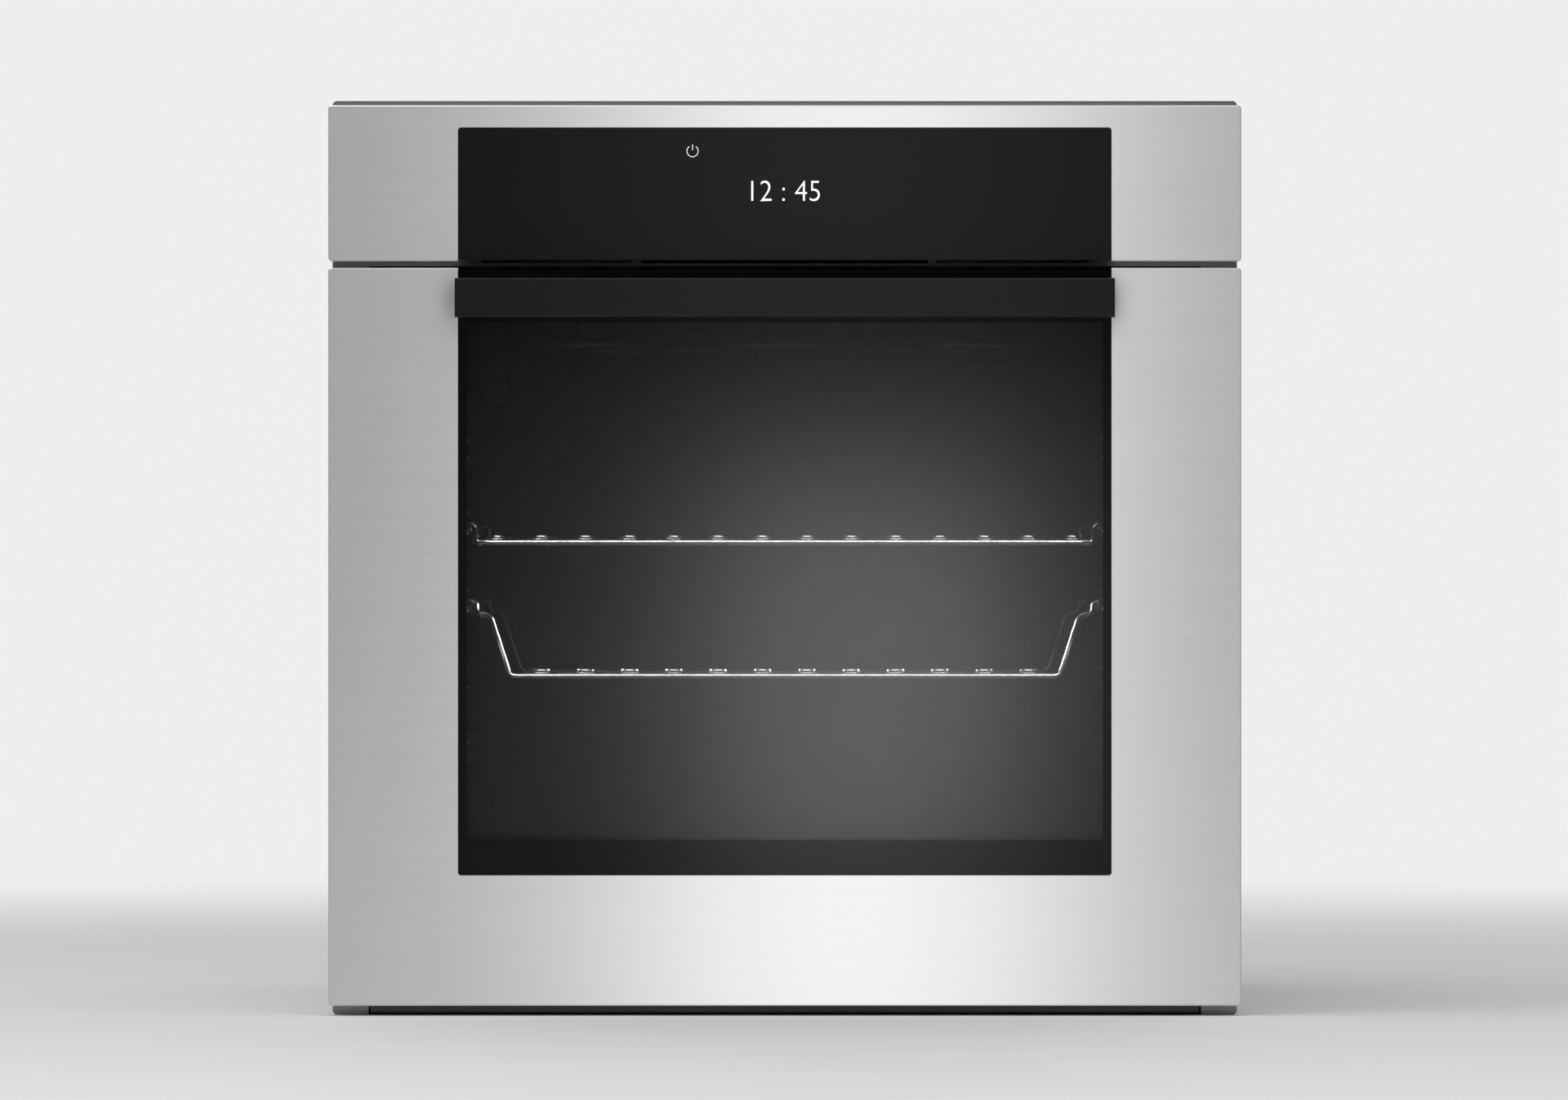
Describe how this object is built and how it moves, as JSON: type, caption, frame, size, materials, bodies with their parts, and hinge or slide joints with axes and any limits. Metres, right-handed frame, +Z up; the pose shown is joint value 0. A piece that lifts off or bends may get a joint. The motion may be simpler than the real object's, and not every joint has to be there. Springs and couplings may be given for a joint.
{
  "type": "built-in wall oven",
  "caption": "Built-in electric wall oven with a brushed steel front, black touch-control glass, drop-down glazed door with bar handle, wire shelves and a fan-heated cavity.",
  "frame": {"origin": "centre of the footprint on the plane the base stands on", "axes": "+X to the user's right, +Y into the cabinet, +Z up; the door faces -Y"},
  "size_m": [0.595, 0.61, 0.597],
  "materials": {
    "steel_front": "fine horizontal brush, satin",
    "frame_grey": "satin grey coating",
    "trim_dark": "gloss dark strip",
    "zinc_sheet": "zinc-coated sheet",
    "enamel": "gloss dark vitreous enamel",
    "wire_chrome": "bright plated wire",
    "heater_tube": "oxidised heater sheath",
    "control_black": "black-backed glass",
    "door_glass": "tinted clear glass",
    "seal_rubber": "dark silicone rubber",
    "handle_black": "satin black coating",
    "black_plastic": "moulded black",
    "white_ceramic": "unglazed ceramic",
    "board_green": "circuit board",
    "motor_steel": "stacked laminations",
    "blanket": "glass-wool blanket",
    "hinge_steel": "stamped zinc-plated steel",
    "fan_steel": "aluminised sheet",
    "bulb_glass": "frosted bulb",
    "lens_glass": "pressed ribbed glass"
  },
  "bodies": {
    "housing": {"front_frame": "frame_grey", "door_recess": "frame_grey", "lower_trim": "trim_dark", "base_panel": "zinc_sheet", "side_panel_left": "zinc_sheet", "side_panel_right": "zinc_sheet", "top_panel": "zinc_sheet", "rear_panel": "zinc_sheet", "cable_gland": "black_plastic", "terminal_block": "white_ceramic", "cavity": "enamel", "insulation": "blanket", "support_rails": "zinc_sheet", "service_deck": "zinc_sheet", "door_seal": "seal_rubber", "hinge_receivers": "hinge_steel", "shelf_support_left": "wire_chrome", "shelf_support_right": "wire_chrome", "fan_cover": "enamel", "fan_motor": "motor_steel", "ring_heater": "heater_tube", "grill_heater": "heater_tube", "grill_straps": "heater_tube", "lower_heater": "heater_tube", "lamp_holder": "white_ceramic", "lamp_bulb": "bulb_glass", "lamp_lens": "lens_glass", "temperature_probe": "hinge_steel", "blower_housing": "zinc_sheet", "blower_motor": "motor_steel", "air_duct": "zinc_sheet", "power_board": "board_green", "fascia": "steel_front", "control_glass": "control_black", "control_carrier": "black_plastic", "control_board": "board_green", "hinge_arm_left": "hinge_steel", "hinge_arm_right": "hinge_steel"},
    "door": {"door_skin": "steel_front", "outer_pane": "door_glass", "middle_pane_front": "door_glass", "middle_pane_rear": "door_glass", "inner_pane": "door_glass", "pane_holders": "black_plastic", "door_stile_left": "hinge_steel", "door_stile_right": "hinge_steel", "door_lower_rail": "hinge_steel", "door_top_rail": "trim_dark", "handle": "handle_black", "handle_screws": "hinge_steel", "hinge_channel_left": "hinge_steel", "hinge_channel_right": "hinge_steel", "hinge_springs": "hinge_steel"},
    "hinge_rods": {"hinge_rods": "hinge_steel"},
    "wire_shelf": {"wire_shelf": "wire_chrome"},
    "drop_shelf": {"drop_shelf": "wire_chrome", "drop_shelf_side_left": "wire_chrome", "drop_shelf_side_right": "wire_chrome"},
    "convection_fan": {"convection_fan": "fan_steel"},
    "blower_rotor": {"blower_rotor": "fan_steel"}
  },
  "joints": [
    {"name": "door_hinge", "type": "hinge", "parent": "housing", "child": "door", "pos_m": [0, -0.255, 0.014], "axis": [1, 0, 0], "range_deg": [0, 90], "stiffness_Nm_per_rad": 8, "springref_deg": -17.19},
    {"name": "hinge_rod_slide", "type": "slide", "parent": "door", "child": "hinge_rods", "axis": [0, 0, 1], "range_m": [-0.0199, 0], "deforming": ["hinge_springs"]},
    {"name": "flat_shelf_slide", "type": "slide", "parent": "housing", "child": "wire_shelf", "axis": [0, -1, 0], "range_m": [0, 0.012]},
    {"name": "dropped_shelf_slide", "type": "slide", "parent": "housing", "child": "drop_shelf", "axis": [0, -1, 0], "range_m": [0, 0.012]},
    {"name": "convection_fan_spin", "type": "hinge", "parent": "housing", "child": "convection_fan", "pos_m": [0, 0.177, 0.268], "axis": [0, 1, 0], "continuous": true},
    {"name": "cooling_fan_spin", "type": "hinge", "parent": "housing", "child": "blower_rotor", "pos_m": [0, 0.107, 0.523], "axis": [1, 0, 0], "continuous": true}
  ],
  "couplings": [
    {"joint": "hinge_rod_slide", "follows": "door_hinge", "m_per_rad": -0.012604}
  ]
}
